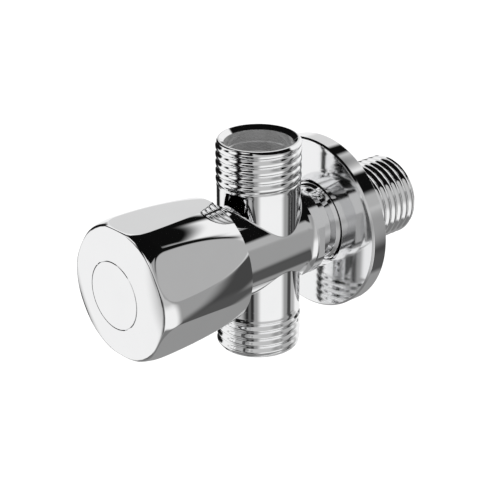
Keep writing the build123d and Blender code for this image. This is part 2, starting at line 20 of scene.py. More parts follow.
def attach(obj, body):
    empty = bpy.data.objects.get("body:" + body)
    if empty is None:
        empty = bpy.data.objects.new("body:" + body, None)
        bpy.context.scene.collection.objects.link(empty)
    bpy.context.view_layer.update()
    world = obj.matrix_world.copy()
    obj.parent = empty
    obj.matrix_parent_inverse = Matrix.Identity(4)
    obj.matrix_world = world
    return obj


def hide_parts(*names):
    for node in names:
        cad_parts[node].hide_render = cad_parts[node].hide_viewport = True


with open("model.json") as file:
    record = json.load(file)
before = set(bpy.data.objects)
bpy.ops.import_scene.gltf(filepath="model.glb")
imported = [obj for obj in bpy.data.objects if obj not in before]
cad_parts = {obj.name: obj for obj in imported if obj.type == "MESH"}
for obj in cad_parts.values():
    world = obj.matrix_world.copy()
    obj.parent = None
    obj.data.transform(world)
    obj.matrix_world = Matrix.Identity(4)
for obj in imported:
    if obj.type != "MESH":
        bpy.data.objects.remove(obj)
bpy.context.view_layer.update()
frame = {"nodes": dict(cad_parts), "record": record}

logging.basicConfig(level=logging.INFO, format="%(message)s")
log = logging.getLogger("shower_valve")

MM = 0.001
MERGE_M = 2e-6
SLIVER_M = 1e-7
CHROME_SHARE = 0.91
TO_WALL = np.array([0.0, 1.0, 0.0])
Grid = np.ndarray
Run = tuple[np.ndarray, np.ndarray]
Socket = bpy.types.NodeSocket
Tree = bpy.types.NodeTree
Object = bpy.types.Object
Material = bpy.types.Material


class Axis(Enum):
    """Axis that a turned shape stands on."""

    MAIN = "y"
    OUTLET = "z"


def unit(vectors: Grid) -> Grid:
    """Vectors scaled to length one."""
    return vectors / np.maximum(np.linalg.norm(vectors, axis=-1, keepdims=True), 1e-12)


def smooth_min(first: Grid, second: Grid, softness: float, far: float = 60.0) -> Grid:
    """Lower of two surfaces with a soft crease between them.

    Args:
        first: heights of the first surface.
        second: heights of the second surface.
        softness: how far the crease is rounded.
        far: how many times the softness the two are apart where the crease has ended.

    Returns:
        The blended height.
    """
    gap = np.abs(first - second) / softness
    return np.minimum(first, second) - softness * np.log1p(np.exp(-np.clip(gap, 0, far)))


def around_main(radius: Grid | float, angle: Grid, place: Grid | float) -> Grid:
    """Points about the main axis, with the angle from +Z towards +X."""
    wide = radius + 0 * (angle + place)
    return np.stack([wide * np.sin(angle), place + 0 * wide, wide * np.cos(angle)], axis=-1)


def around_outlet(radius: Grid | float, angle: Grid, place: Grid | float) -> Grid:
    """Points about an outlet's own axis, with the angle from +X towards +Y."""
    wide = radius + 0 * (angle + place)
    return np.stack([wide * np.cos(angle), wide * np.sin(angle), place + 0 * wide], axis=-1)


def half_turn(flip: bool) -> Grid:
    """Signs that turn the upper outlet's coordinates half a turn about Y, or leave them."""
    return np.array([-1.0, 1.0, -1.0] if flip else [1.0, 1.0, 1.0])


def upright(points: Grid, centre: float, flip: bool) -> Grid:
    """Moves an outlet's own points to its place, or turns them half a turn about Y for the lower one."""
    return points * half_turn(flip) + np.array([0.0, centre, 0.0])


def border(*legs: tuple[Grid | float, Grid | float]) -> Grid:
    """Joins legs of (angle, place) points, in which either may be one value for the whole leg."""
    return np.concatenate([np.stack(np.broadcast_arrays(*leg), axis=-1) for leg in legs])


def joined(*stops: float) -> Grid:
    """Even steps between stops: joined(a, 3, b, 5, c) has 3 steps from a to b and 5 from b to c."""
    spans = zip(stops[::2], stops[2::2], stops[1::2])
    return np.concatenate([*(np.linspace(a, b, steps + 1)[:-1] for a, b, steps in spans), stops[-1:]])


def swing(first: Grid, second: Grid, turn: Grid | float, share: Grid) -> Grid:
    """Directions that swing from one to another, by shares of the turn between the two."""
    return (np.sin((1 - share) * turn) * first + np.sin(share * turn) * second) / np.sin(turn)


def linked(name: str, data: bpy.types.ID) -> Object:
    """Makes an object and links it to the scene."""
    obj = bpy.data.objects.new(name, data)
    bpy.context.scene.collection.objects.link(obj)
    return obj


class Skin:
    """Grid patches with exact normals, joined into one smooth mesh."""

    def __init__(self) -> None:
        """Starts with no patches."""
        self.points: list[Grid] = []
        self.normals: list[Grid] = []
        self.faces: list[Grid] = []
        self.finishes: list[Grid] = []
        self.finish = 0
        self.count = 0

    def grid(self, points: Grid, normals: Grid, loop: bool = False) -> None:
        """Adds one patch, in the finish that is set.

        Args:
            points: rows by columns by three, in millimetres.
            normals: the outward normal at each point, or one for each column or for all.
            loop: whether the last column joins the first.
        """
        rows, columns = points.shape[:2]
        index = np.arange(rows * columns).reshape(rows, columns)
        if loop:
            index = np.concatenate([index, index[:, :1]], axis=1)
        corners = index[:-1, :-1], index[1:, :-1], index[1:, 1:], index[:-1, 1:]
        quads = np.stack(corners, axis=-1).reshape(-1, 4)
        flat, ways = points.reshape(-1, 3), np.broadcast_to(normals, points.shape).reshape(-1, 3)
        across = np.cross(flat[quads[:, 2]] - flat[quads[:, 0]], flat[quads[:, 3]] - flat[quads[:, 1]])
        if (across * ways[quads].sum(axis=1)).sum() < 0:
            quads = quads[:, ::-1]
        self.points.append(flat)
        self.normals.append(ways)
        self.faces.append(quads + self.count)
        self.finishes.append(np.full(len(quads), self.finish, np.int32))
        self.count += rows * columns

    def turned(self, runs: list[Run], angles: Grid, axis: Axis = Axis.MAIN, centre: float = 0.0,
               flip: bool = False) -> None:
        """Adds the surface that runs of a section sweep all round an axis.

        Args:
            runs: the section, as (radius, place) points with their normals.
            angles: the columns' angles, from +Z towards +X about Y, or from +X towards +Y about Z.
            axis: the axis of the sweep.
            centre: where an outlet's axis stands on Y.
            flip: whether an outlet points down.
        """
        for places, ways in runs:
            if axis is Axis.MAIN:
                points = around_main(places[:, :1], angles, places[:, 1:])
                normals = around_main(ways[:, :1], angles, ways[:, 1:])
            else:
                points = upright(around_outlet(places[:, :1], angles, places[:, 1:]), centre, flip)
                normals = upright(around_outlet(ways[:, :1], angles, ways[:, 1:]), 0.0, flip)
            self.grid(points, normals, True)

    def build(self, name: str) -> Object:
        """Makes the object, with shared points merged and the exact normals kept.

        Args:
            name: the object's name.

        Returns:
            The object, linked to the scene.
        """
        mesh = bpy.data.meshes.new(name)
        faces = np.concatenate(self.faces)
        mesh.from_pydata(np.concatenate(self.points) * MM, [], faces.tolist(), shade_flat=False)
        mesh.polygons.foreach_set("material_index", np.concatenate(self.finishes))
        kept = mesh.attributes.new("fine_normal", "FLOAT_VECTOR", "CORNER")
        ways = unit(np.concatenate(self.normals))[faces].astype(np.float32)
        kept.data.foreach_set("vector", ways.ravel())
        work = bmesh.new()
        work.from_mesh(mesh)
        bmesh.ops.remove_doubles(work, verts=work.verts, dist=MERGE_M)
        bmesh.ops.dissolve_degenerate(work, edges=work.edges, dist=SLIVER_M)
        work.to_mesh(mesh)
        work.free()
        ways = np.zeros(len(mesh.loops) * 3, np.float32)
        mesh.attributes["fine_normal"].data.foreach_get("vector", ways)
        mesh.attributes.remove(mesh.attributes["fine_normal"])
        mesh.normals_split_custom_set(ways.reshape(-1, 3))
        return linked(name, mesh)


def stairs(radii: tuple[float, ...], places: tuple[float, ...], soft: float = 0.0) -> list[tuple]:
    """Corners of a stepped section, which keeps each radius from one place to the next."""
    return [(radius, place, soft) for radius, *ends in zip(radii, places, places[1:]) for place in ends]


def section(corners: list[tuple], side: float, closed: bool = False, arc_steps: int = 5) -> list[Run]:
    """Runs of a section from its corners.

    Args:
        corners: (radius, place) or (radius, place, rounding) for each corner, in order.
        side: 1 where going towards -Y has the outside on the axis' side, else -1.
        closed: whether the last corner joins the first.
        arc_steps: steps in each rounding.

    Returns:
        One run for each straight and one for each rounding.
    """
    places = np.array([corner[:2] for corner in corners], float)
    roundings = [corner[2] if len(corner) > 2 else 0.0 for corner in corners]
    count = len(places)
    legs = count if closed else count - 1
    ways = unit(np.array([places[(i + 1) % count] - places[i] for i in range(legs)]))
    outs = side * np.stack([ways[:, 1], -ways[:, 0]], axis=-1)
    starts, ends = places.copy(), places.copy()
    arcs: list[Run | None] = [None] * count
    for i in range(count):
        before, after = (i - 1) % count, i
        if roundings[i] <= 0 or (not closed and i in (0, count - 1)):
            continue
        cosine = float(np.clip(np.dot(outs[before], outs[after]), -1, 1))
        turn = math.acos(cosine)
        reach = roundings[i] * math.tan(turn / 2)
        ends[i] = places[i] - ways[before] * reach
        starts[i] = places[i] + ways[after] * reach
        bulge = math.copysign(1.0, float(np.dot(ways[before], outs[after])))
        share = np.linspace(0, 1, arc_steps + 1)[:, None]
        spread = swing(outs[before], outs[after], turn, share)
        middle = ends[i] - bulge * roundings[i] * outs[before]
        arcs[i] = (middle + bulge * roundings[i] * spread, spread)
    runs: list[Run] = []
    for i in range(legs):
        if arcs[i] is not None:
            runs.append(arcs[i])
        line = np.stack([starts[i], ends[(i + 1) % count]])
        runs.append((line, np.repeat(outs[i:i + 1], 2, axis=0)))
    return runs


@dataclass
class Thread:
    """A helical thread of convex ridges on a round end, as a radius that changes with angle and place."""

    crest: float = 10.4775
    pitch: float = 2.1
    depth: float = 0.42
    half_angle: float = 57.0
    root_round: float = 0.05
    crown: float = 0.30
    softness: float = 0.02
    groove_at: float = 24.46
    groove_angle: float = -131.0
    start: float = 16.3
    fade: float = 1.2
    plain: float = 10.3
    end: float = 27.2
    end_crest: float = 9.85
    end_drop: float = 0.66

    def radius(self, angle: Grid, place: Grid) -> Grid:
        """Radius of the threaded end.

        Args:
            angle: angle about the thread's axis, in radians, growing with the helix.
            place: distance along the axis.

        Returns:
            The radius at each point.
        """
        turns = (angle - math.radians(self.groove_angle)) / (2 * math.pi)
        phase = (place - self.groove_at) / self.pitch - turns
        away = np.abs(phase - np.round(phase)) * self.pitch
        flank = away / math.tan(math.radians(self.half_angle))
        rise = np.sqrt(flank ** 2 + self.root_round ** 2) - self.root_round
        fade = np.clip((place - self.start + self.fade) / (2 * self.fade), 0, 1)
        fade = fade * fade * (3 - 2 * fade)
        base = self.plain + (self.crest - self.plain) * fade
        crown = base - self.crown * fade * (self.pitch / 2 - away) ** 2
        groove = base - self.depth * fade + rise
        share = (place - self.end + self.end_drop) / self.end_drop
        rake = self.crest + (self.end_crest - self.crest) * share
        return smooth_min(smooth_min(crown, groove, self.softness), rake, self.softness)

    def surface(self, angle: Grid, place: Grid) -> tuple[Grid, Grid]:
        """Radius and normal parts of the threaded end.

        Args:
            angle: angles of the points.
            place: places of the points along the axis.

        Returns:
            The radius, and the normal as (outward, sideways, along) parts.
        """
        step = 1e-3
        radius = self.radius(angle, place)
        turn = (self.radius(angle + step, place) - self.radius(angle - step, place)) / (2 * step)
        along = (self.radius(angle, place + step) - self.radius(angle, place - step)) / (2 * step)
        ways = unit(np.stack([np.ones_like(radius), -turn / radius, -along], axis=-1))
        return radius, ways


def feed(tree: Tree, socket: Socket, value: Socket | float | tuple) -> None:
    """Links a socket to an output, or sets it to a constant."""
    if isinstance(value, Socket):
        tree.links.new(value, socket)
    else:
        socket.default_value = value


def maths(tree: Tree, operation: str, *values: Socket | float) -> Socket:
    """Adds a math node.

    Args:
        tree: the tree that gets it.
        operation: what the node works out.
        values: outputs or constants for its inputs, in order.

    Returns:
        The node's output.
    """
    node = tree.nodes.new("ShaderNodeMath")
    node.operation = operation
    for socket, value in zip(node.inputs, values):
        feed(tree, socket, value)
    return node.outputs[0]


def mixed(tree: Tree, factor: Socket, first: Socket | float | tuple, second: Socket | float | tuple,
          colour: bool = False) -> Socket:
    """Adds a node that mixes two values or two colours.

    Args:
        tree: the tree that gets it.
        factor: the second one's share.
        first: the first value or colour.
        second: the second value or colour.
        colour: whether the two are colours.

    Returns:
        The node's output.
    """
    node = tree.nodes.new("ShaderNodeMix")
    if colour:
        node.data_type = "RGBA"
    for name, value in (("Factor", factor), ("A", first), ("B", second)):
        feed(tree, node.inputs[name], value)
    return node.outputs["Result"]


@dataclass
class SurfaceGrain:
    """The fine grain of a finish, as a node group of two values."""

    name: str = "surface_grain"
    given: tuple[tuple[str, float], ...] = (("Scale", 500.0), ("Detail", 4.0), ("Roughness", 0.3),
                                            ("Spread", 0.05))

    def build(self) -> Tree:
        """Makes the group on the first call.

        Returns:
            The group.
        """
        found = bpy.data.node_groups.get(self.name)
        if found:
            return found
        tree = bpy.data.node_groups.new(self.name, "ShaderNodeTree")
        for name, value in self.given:
            socket = tree.interface.new_socket(name, in_out="INPUT", socket_type="NodeSocketFloat")
            socket.default_value = value
        for name in ("Grain", "Roughness"):
            tree.interface.new_socket(name, in_out="OUTPUT", socket_type="NodeSocketFloat")
        given, out = (tree.nodes.new(kind) for kind in ("NodeGroupInput", "NodeGroupOutput"))
        place, grain = (tree.nodes.new(kind) for kind in ("ShaderNodeTexCoord", "ShaderNodeTexNoise"))
        centred = maths(tree, "SUBTRACT", grain.outputs["Fac"], 0.5)
        gloss = maths(tree, "MULTIPLY_ADD", centred, given.outputs["Spread"], given.outputs["Roughness"])
        for node, name, source in ((grain, "Vector", place.outputs["Object"]),
                                   (grain, "Scale", given.outputs["Scale"]),
                                   (grain, "Detail", given.outputs["Detail"]),
                                   (out, "Grain", grain.outputs["Fac"]), (out, "Roughness", gloss)):
            tree.links.new(source, node.inputs[name])
        return tree

    def place(self, material: Material, *values: float) -> bpy.types.ShaderNodeGroup:
        """Places the group in a material.

        Args:
            material: the material that gets it.
            values: the grain's scale, its finer layers, the middle roughness and the spread about it.

        Returns:
            The group's node.
        """
        node = material.node_tree.nodes.new("ShaderNodeGroup")
        node.node_tree = self.build()
        for (name, _), value in zip(self.given, values):
            node.inputs[name].default_value = value
        return node


@dataclass(frozen=True)
class Finish:
    """A finish whose colour, gloss and surface vary with a fine grain."""

    name: str
    light: tuple[float, float, float]
    dark: tuple[float, float, float]
    metallic: float
    roughness: float
    spread: float
    grain_scale: float
    bump_scale: float
    bump_height: float
    detail: float = 5.0
    bump_detail: float = 1.0
    bump_strength: float = 0.3

    def build(self) -> Material:
        """Makes the material.

        Returns:
            The material.
        """
        material = bpy.data.materials.new(self.name)
        material.use_nodes = True
        tree = material.node_tree
        shader = tree.nodes["Principled BSDF"]
        gloss = (self.roughness, self.spread)
        grain = SurfaceGrain().place(material, self.grain_scale, self.detail, *gloss)
        relief = SurfaceGrain().place(material, self.bump_scale, self.bump_detail, *gloss)
        tint = mixed(tree, grain.outputs["Grain"], (*self.dark, 1), (*self.light, 1), True)
        bump = tree.nodes.new("ShaderNodeBump")
        for node, name, value in (
                (bump, "Strength", self.bump_strength),
                (bump, "Distance", self.bump_height * MM),
                (bump, "Height", relief.outputs["Grain"]),
                (shader, "Metallic", self.metallic),
                (shader, "Base Color", tint),
                (shader, "Roughness", grain.outputs["Roughness"]),
                (shader, "Normal", bump.outputs["Normal"])):
            feed(tree, node.inputs[name], value)
        return material


def valve_finishes() -> dict[str, Finish]:
    """The finishes by the record's slot, with the waterways' dull plating and the flange's softer chrome.

    Returns:
        The finish for each name that a piece is dressed by.
    """
    chrome = Finish("chrome_plate", (0.94, 0.942, 0.945), (0.91, 0.912, 0.918), 1, 0.022, 0.03, 180, 60,
                    0.006)
    return {
        "chrome": chrome,
        "waterway": Finish("dull_plating", (0.8, 0.8, 0.8), (0.7, 0.7, 0.7), 0.76, 0.12, 0.08, 420, 260,
                           0.01),
        "soft_chrome": replace(chrome, name="soft_chrome_plate", roughness=0.085, spread=0.05),
        "brass": Finish("turned_brass", (0.8, 0.62, 0.3), (0.66, 0.48, 0.2), 1, 0.27, 0.14, 900, 900, 0.01),
        "rubber": Finish("black_rubber", (0.03, 0.03, 0.032), (0.016, 0.016, 0.017), 0, 0.62, 0.2,
                         1500, 1500, 0.02),
        "ceramic": Finish("white_ceramic", (0.86, 0.85, 0.82), (0.8, 0.79, 0.76), 0, 0.22, 0.1, 700, 700,
                          0.004),
        "plastic": Finish("pale_moulding", (0.72, 0.73, 0.74), (0.62, 0.63, 0.65), 0, 0.45, 0.16, 800, 800,
                          0.01),
        "steel": Finish("bright_steel", (0.66, 0.67, 0.69), (0.54, 0.55, 0.57), 1, 0.26, 0.14, 1100, 1100,
                        0.008),
    }


@dataclass
class Finishes:
    """Every finish of the valve, by the record's slot."""

    by_slot: dict[str, Material] = field(default_factory=dict)

    def build(self) -> None:
        """Makes the materials."""
        self.by_slot = {slot: finish.build() for slot, finish in valve_finishes().items()}

    def dress(self, obj: Object, slot: str, second: str = "") -> None:
        """Gives an object the finish of a slot.

        Args:
            obj: the object.
            slot: the record's slot.
            second: the finish of the faces in the second one, if there are any.
        """
        if obj.data.materials:
            obj.data.materials.clear()
        obj.data.materials.append(self.by_slot[slot])
        if second:
            obj.data.materials.append(self.by_slot[second])


@dataclass
class ValveBody:
    """The one-piece body: barrel, collar, neck, inlet and two outlets."""

    barrel: float = 11.35
    collar: float = 11.75
    collar_front: float = -12.95
    collar_rear: float = -9.9
    flare: float = 6.0
    flat_x: float = 11.05
    flat_front: float = -12.35
    neck: float = 9.6
    shank: float = 10.3
    shank_to: float = 1.2
    neck_round: float = 0.1
    flange_front: float = -4.5
    front: float = -44.6
    front_round: float = 0.2
    mouth: float = 10.1
    mouth_rear: float = -43.0
    thread_bore: float = 9.0
    thread_rear: float = -36.0
    chamber: float = 8.6
    chamber_rear: float = -14.0
    waterway: float = 7.0
    pocket: float = 8.0
    pocket_front: float = 18.5
    pocket_chamfer: float = 0.5
    outlet_y: float = -22.1
    tube: float = 10.3
    fillet: float = 0.6
    patch_front: float = -33.9
    plain_top: float = 14.6
    rim_inner: float = 9.5
    rim_top: float = 27.3
    bore_radii: tuple[float, float, float] = (8.4575, 8.1575, 7.8575)
    bore_tops: tuple[float, float, float] = (26.2, 23.2, 20.8)
    bore_round: float = 0.08
    floor: float = 13.0
    floor_round: float = 0.6
    port: float = 3.6
    port_band: tuple[float, float] = (-27.1, -17.1)
    fan: tuple[float, float] = (222.0, 318.0)
    foot_gather: float = 1.3
    side_steps: int = 40
    rear_steps: int = 8
    across_steps: int = 48
    panel_steps: int = 14
    foot_rows: int = 9
    fillet_rows: int = 6
    tube_rows: int = 8
    port_rows: int = 4
    thread_rows: int = 104
    shank_rows: int = 7
    inlet_rows: int = 123
    front_samples: int = 9000
    rear_samples: int = 1200
    skin: Skin = field(default_factory=Skin)
    upper: Thread = field(default_factory=Thread)
    lower: Thread = field(default_factory=lambda: Thread(
        pitch=2.02, groove_at=24.68, groove_angle=-150.0, start=17.3, fade=0.7, depth=0.5))
    inlet: Thread = field(default_factory=lambda: Thread(
        groove_at=10.95, groove_angle=60.0, start=10.6, fade=0.8, end=24.4, end_crest=9.6775, end_drop=0.8))

    def __post_init__(self) -> None:
        """Works out the shared columns."""
        self.edge_angle = math.acos(math.sqrt(self.collar ** 2 - self.flat_x ** 2) / self.collar)
        rise = self.collar - self.barrel
        self.flare_start = self.collar_front - math.sqrt(2 * self.flare * rise - rise ** 2)
        self.side_y = joined(self.collar_front, self.side_steps, self.patch_front)
        self.rear_y = joined(self.collar_front, 2, self.flat_front, self.rear_steps - 2, self.collar_rear)
        self.across = joined(-self.edge_angle, self.across_steps, self.edge_angle)
        self.panel = joined(self.edge_angle, self.panel_steps, math.pi - self.edge_angle)
        half = np.append(self.across[:-1], self.panel[:-1])
        self.around = np.append(half, half + math.pi)
        tilt = math.asin((self.collar_front - self.flare_start) / self.flare)
        reach = self.tube + self.fillet
        first = math.asin((self.collar_front - self.fillet * math.sin(tilt) - self.outlet_y) / reach)
        second = math.asin((self.collar_front - self.outlet_y) / reach)
        left, right = (math.radians(angle) for angle in self.fan)
        self.front_angles = joined(math.pi - first, self.side_steps, left, self.across_steps, right,
                                   self.side_steps, 2 * math.pi + first)
        self.rear_angles = joined(first, 1, second, 2 * self.rear_steps + self.across_steps - 2,
                                  math.pi - second, 1, math.pi - first)
        self.tube_angles = np.concatenate([self.front_angles[:-1], self.rear_angles[:-1]])

    def trunk(self, place: Grid, behind: bool) -> tuple[Grid, Grid]:
        """Radius and slope of the trunk.

        Args:
            place: places along the main axis.
            behind: whether the places are behind the collar's front edge.

        Returns:
            The radius and its slope at each place.
        """
        if behind:
            return np.full_like(place, self.collar), np.zeros_like(place)
        run = np.clip(place - self.flare_start, 0, self.collar_front - self.flare_start)
        fall = np.sqrt(self.flare ** 2 - run ** 2)
        return self.barrel + self.flare - fall, run / fall

    def seam(self, angles: Grid) -> tuple[Grid, Grid]:
        """Rolls a ball of the fillet's size along an outlet's foot.

        Args:
            angles: angles about the outlet.

        Returns:
            The ball's centres, and where it touches the trunk.
        """
        beyond = 2.0
        ahead = np.linspace(self.patch_front - beyond, self.collar_front, self.front_samples)
        behind = np.linspace(self.collar_front, self.collar_rear, self.rear_samples)
        samples = np.append(ahead, behind)
        radii = np.append(self.trunk(ahead, False)[0], self.trunk(behind, True)[0])
        reach = self.tube + self.fillet
        x, y = reach * np.cos(angles), self.outlet_y + reach * np.sin(angles)
        off = np.abs(y[:, None] - samples[None, :])
        above = np.sqrt(np.maximum(self.fillet ** 2 - off ** 2, 0))
        height = np.where(off <= self.fillet, radii + above, -1.0)
        best = height.argmax(axis=1)
        out = height[np.arange(len(best)), best]
        z = np.sqrt(out ** 2 - x ** 2)
        share = radii[best] / out
        return np.stack([x, y, z], axis=-1), np.stack([x * share, samples[best], z * share], axis=-1)

    def foot(self, flip: bool) -> None:
        """Adds the trunk round one outlet, and the fillet between them.

        Args:
            flip: whether the outlet points down.
        """
        turn, edge = half_turn(flip), self.edge_angle
        front_rim = border((-edge, self.side_y[:-1]), (self.across[:-1], self.patch_front),
                           (edge, self.side_y[::-1]))
        rear_rim = border((edge, self.rear_y[:-1]), (self.across[:0:-1], self.collar_rear),
                          (-edge, self.rear_y[::-1]))
        share = (np.linspace(0, 1, self.foot_rows) ** self.foot_gather)[:, None, None]
        bend_share = np.linspace(0, 1, self.fillet_rows)[:, None, None]
        for angles, rim, behind in ((self.front_angles, front_rim, False),
                                    (self.rear_angles, rear_rim, True)):
            centres, touch = self.seam(angles)
            start = np.stack([np.arctan2(touch[:, 0], touch[:, 2]), touch[:, 1]], axis=-1)
            flat = (1 - share) * start + share * rim
            radius, slope = self.trunk(flat[..., 1], behind)
            normals = unit(around_main(1.0, flat[..., 0], -slope))
            self.skin.grid(around_main(radius, flat[..., 0], flat[..., 1]) * turn, normals * turn)
            foot, side = -around_outlet(1.0, angles, 0.0), unit(touch - centres)
            bend = np.arccos(np.clip((foot * side).sum(axis=-1), -1, 1))[:, None]
            sweep = swing(foot, side, bend, bend_share)
            self.skin.grid((centres + self.fillet * sweep) * turn, -unit(sweep) * turn)

    def stand(self, points: Grid, normals: Grid, flip: bool) -> None:
        """Adds a patch all round an outlet, given about the outlet's own axis."""
        self.skin.grid(upright(points, self.outlet_y, flip), upright(normals, 0.0, flip), True)

    def outlet(self, thread: Thread, flip: bool) -> None:
        """Adds the outside of one outlet: plain tube, threaded end and rim.

        Args:
            thread: the outlet's thread.
            flip: whether the outlet points down.
        """
        angles = self.tube_angles
        centres, _ = self.seam(angles)
        lift = np.linspace(0, 1, self.tube_rows)[:, None]
        place = (1 - lift) * centres[:, 2] + lift * self.plain_top
        self.stand(around_outlet(self.tube, angles, place), around_outlet(1.0, angles, 0.0), flip)
        rows = np.linspace(self.plain_top, thread.end, self.thread_rows)[:, None] + 0 * angles
        wide = angles + 0 * rows
        radius, ways = thread.surface(wide, rows)
        radius[0] = self.tube
        points = around_outlet(radius, wide, rows)
        out, aside, cos, sin = ways[..., 0], ways[..., 1], np.cos(wide), np.sin(wide)
        normals = np.stack([out * cos - aside * sin, out * sin + aside * cos, ways[..., 2]], axis=-1)
        self.stand(points, normals, flip)
        inner = around_outlet(self.rim_inner, angles, self.rim_top)
        self.stand(np.stack([points[-1], inner]), np.array([0, 0, 1.0]), flip)

    def bore(self, flip: bool) -> None:
        """Adds one outlet's chamfer, stepped bore and port, and the chamber's wall round the port.

        Args:
            flip: whether the outlet points down.
        """
        angles, turn, soft = self.tube_angles, half_turn(flip), self.bore_round
        chamfer = [(self.rim_inner, self.rim_top), (self.bore_radii[0], self.bore_tops[0])]
        steps = [*stairs(self.bore_radii, (*self.bore_tops, self.floor), soft)[:-1],
                 (self.bore_radii[-1], self.floor, self.floor_round), (self.port, self.floor)]
        self.skin.turned(section(chamfer, 1.0), angles, Axis.OUTLET, self.outlet_y, flip)
        self.skin.finish = 1
        self.skin.turned(section(steps, 1.0), angles, Axis.OUTLET, self.outlet_y, flip)
        x, y = self.port * np.cos(angles), self.outlet_y + self.port * np.sin(angles)
        mouth = np.sqrt(self.chamber ** 2 - x ** 2)
        walls = np.stack([np.stack([x, y, level + 0 * x], axis=-1) for level in (self.floor, mouth)])
        self.skin.grid(walls * turn, -around_outlet(1.0, angles, 0.0) * turn, True)
        front, rear = self.port_band
        side = np.linspace(rear, front, self.across_steps + 1)
        edge, cut = self.edge_angle, self.rear_steps
        rim = border((-edge, side[cut:-1]), (self.across[:-1], front), (edge, side[:0:-1]),
                     (self.across[:0:-1], rear), (-edge, side[:cut]))
        start = np.stack([np.arctan2(x, mouth), y], axis=-1)
        share = np.linspace(0, 1, self.port_rows)[:, None, None]
        flat = (1 - share) * start + share * rim
        points = around_main(self.chamber, flat[..., 0], flat[..., 1])
        self.skin.grid(points * turn, -around_main(1.0, flat[..., 0], 0.0) * turn, True)
        self.skin.finish = 0

    def panels(self) -> None:
        """Adds the trunk's two sides between the outlets' feet, with the spanner flats."""
        angle = self.panel
        outward = around_main(1.0, angle, 0.0)
        for turn in (half_turn(False), half_turn(True)):
            radius, slope = self.trunk(self.side_y[:, None] + 0 * angle, False)
            points = around_main(radius, angle, self.side_y[:, None])
            self.skin.grid(points * turn, unit(around_main(1.0, angle, -slope)) * turn)
            self.skin.grid(around_main(self.collar, angle, self.rear_y[:3, None]) * turn, outward * turn)
            arc = around_main(self.collar, angle, self.flat_front)
            level = arc.copy()
            level[:, 0] = self.flat_x
            self.skin.grid(np.stack([arc, level]) * turn, TO_WALL)
            flat = np.stack([level + TO_WALL * (y - self.flat_front) for y in self.rear_y[2:]])
            self.skin.grid(flat * turn, np.array([1.0, 0, 0]) * turn)
            side = np.linspace(*self.port_band, self.across_steps + 1)[:, None]
            self.skin.finish = 1
            self.skin.grid(around_main(self.chamber, angle, side) * turn, -outward * turn)
            self.skin.finish = 0

    def ends(self) -> None:
        """Adds what is turned about the main axis: front, chamber, inlet bore, inlet, shank and neck."""
        end, lip = self.inlet.end, self.pocket_chamfer
        front = [(self.barrel, self.patch_front), (self.barrel, self.front, self.front_round),
                 *stairs((self.mouth, self.thread_bore, self.chamber),
                         (self.front, self.mouth_rear, self.thread_rear, self.port_band[0]))]
        inside = [*stairs((self.chamber, self.waterway, self.pocket),
                          (self.port_band[1], self.chamber_rear, self.pocket_front, end - lip)),
                  (self.pocket + lip, end), (self.inlet.end_crest, end)]
        self.skin.turned(section(front, -1.0), self.around)
        self.skin.finish = 1
        self.skin.turned(section(inside, -1.0), self.around)
        self.skin.finish = 0
        thread_from = self.inlet.start - 2 * self.inlet.fade
        rows = joined(self.shank_to, self.shank_rows, thread_from, self.inlet_rows, end)[:, None]
        rows = rows + 0 * self.around
        wide = self.around + 0 * rows
        radius, ways = self.inlet.surface(wide, rows)
        radius[0], radius[-1] = self.shank, self.inlet.end_crest
        sideways = np.stack([np.cos(wide), 0 * wide, -np.sin(wide)], axis=-1)
        normals = ways[..., :1] * around_main(1.0, wide, 0.0) + ways[..., 1:2] * sideways
        self.skin.grid(around_main(radius, wide, rows), normals + ways[..., 2:] * TO_WALL, True)
        step, soft = self.shank - self.neck, self.neck_round
        neck = [(self.shank, self.shank_to), (self.shank, self.flange_front + step, soft),
                (self.neck, self.flange_front, soft), (self.neck, self.collar_rear)]
        self.skin.turned(section(neck, -1.0), self.around)
        outer = around_main(self.collar, self.around, self.collar_rear)
        outer[:, 0] = np.clip(outer[:, 0], -self.flat_x, self.flat_x)
        inner = around_main(self.neck, self.around, self.collar_rear)
        self.skin.grid(np.stack([inner, outer]), TO_WALL, True)

    def build(self, finishes: Finishes) -> Object:
        """Makes the body and sets it on the valve.

        Args:
            finishes: the valve's finishes.

        Returns:
            The body's object.
        """
        for thread, flip in ((self.upper, False), (self.lower, True)):
            self.foot(flip)
            self.outlet(thread, flip)
            self.bore(flip)
        self.panels()
        self.ends()
        body = self.skin.build("chromed_body")
        finishes.dress(body, "chrome", "waterway")
        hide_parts("valve_body")
        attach(body, "valve")
        return body


